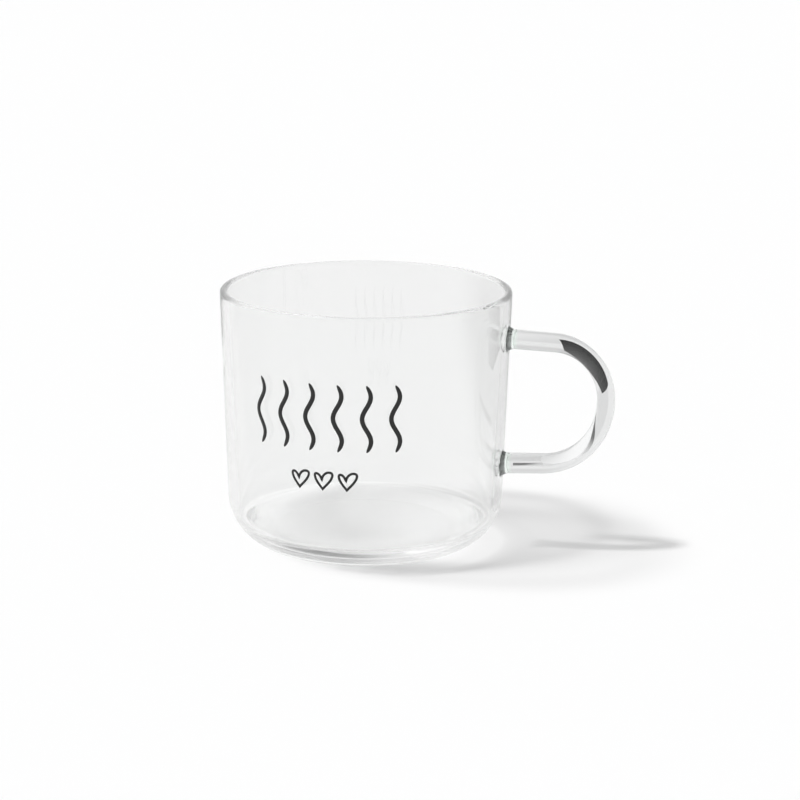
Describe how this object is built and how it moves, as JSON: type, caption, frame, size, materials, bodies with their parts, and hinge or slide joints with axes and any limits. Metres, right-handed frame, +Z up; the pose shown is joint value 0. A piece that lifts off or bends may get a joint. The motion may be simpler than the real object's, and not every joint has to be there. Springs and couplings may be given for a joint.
{
  "type": "glass mug",
  "caption": "Clear glass mug with a gently tapered round cup, solid base with a round heel, bent glass rod handle fused on at flared feet and a small black print.",
  "frame": {"origin": "centre of the flat base, on the cup's axis", "axes": "+Z up along the cup's axis, +X towards the handle, the print faces -Y"},
  "size_m": [0.1227, 0.09, 0.0805],
  "materials": {
    "clear_glass": "clear, fire-polished",
    "weld_glass": "clear with a faint green tint where it is thick",
    "black_enamel": "fired black enamel, satin"
  },
  "bodies": {
    "root": {"cup_body": "clear_glass", "handle_rod": "clear_glass", "upper_handle_foot": "weld_glass", "lower_handle_foot": "weld_glass", "heart_left": "black_enamel", "heart_middle": "black_enamel", "heart_right": "black_enamel", "steam_wisp_first": "black_enamel", "steam_wisp_second": "black_enamel", "steam_wisp_third": "black_enamel", "steam_wisp_fourth": "black_enamel", "steam_wisp_fifth": "black_enamel", "steam_wisp_sixth": "black_enamel"}
  },
  "joints": []
}
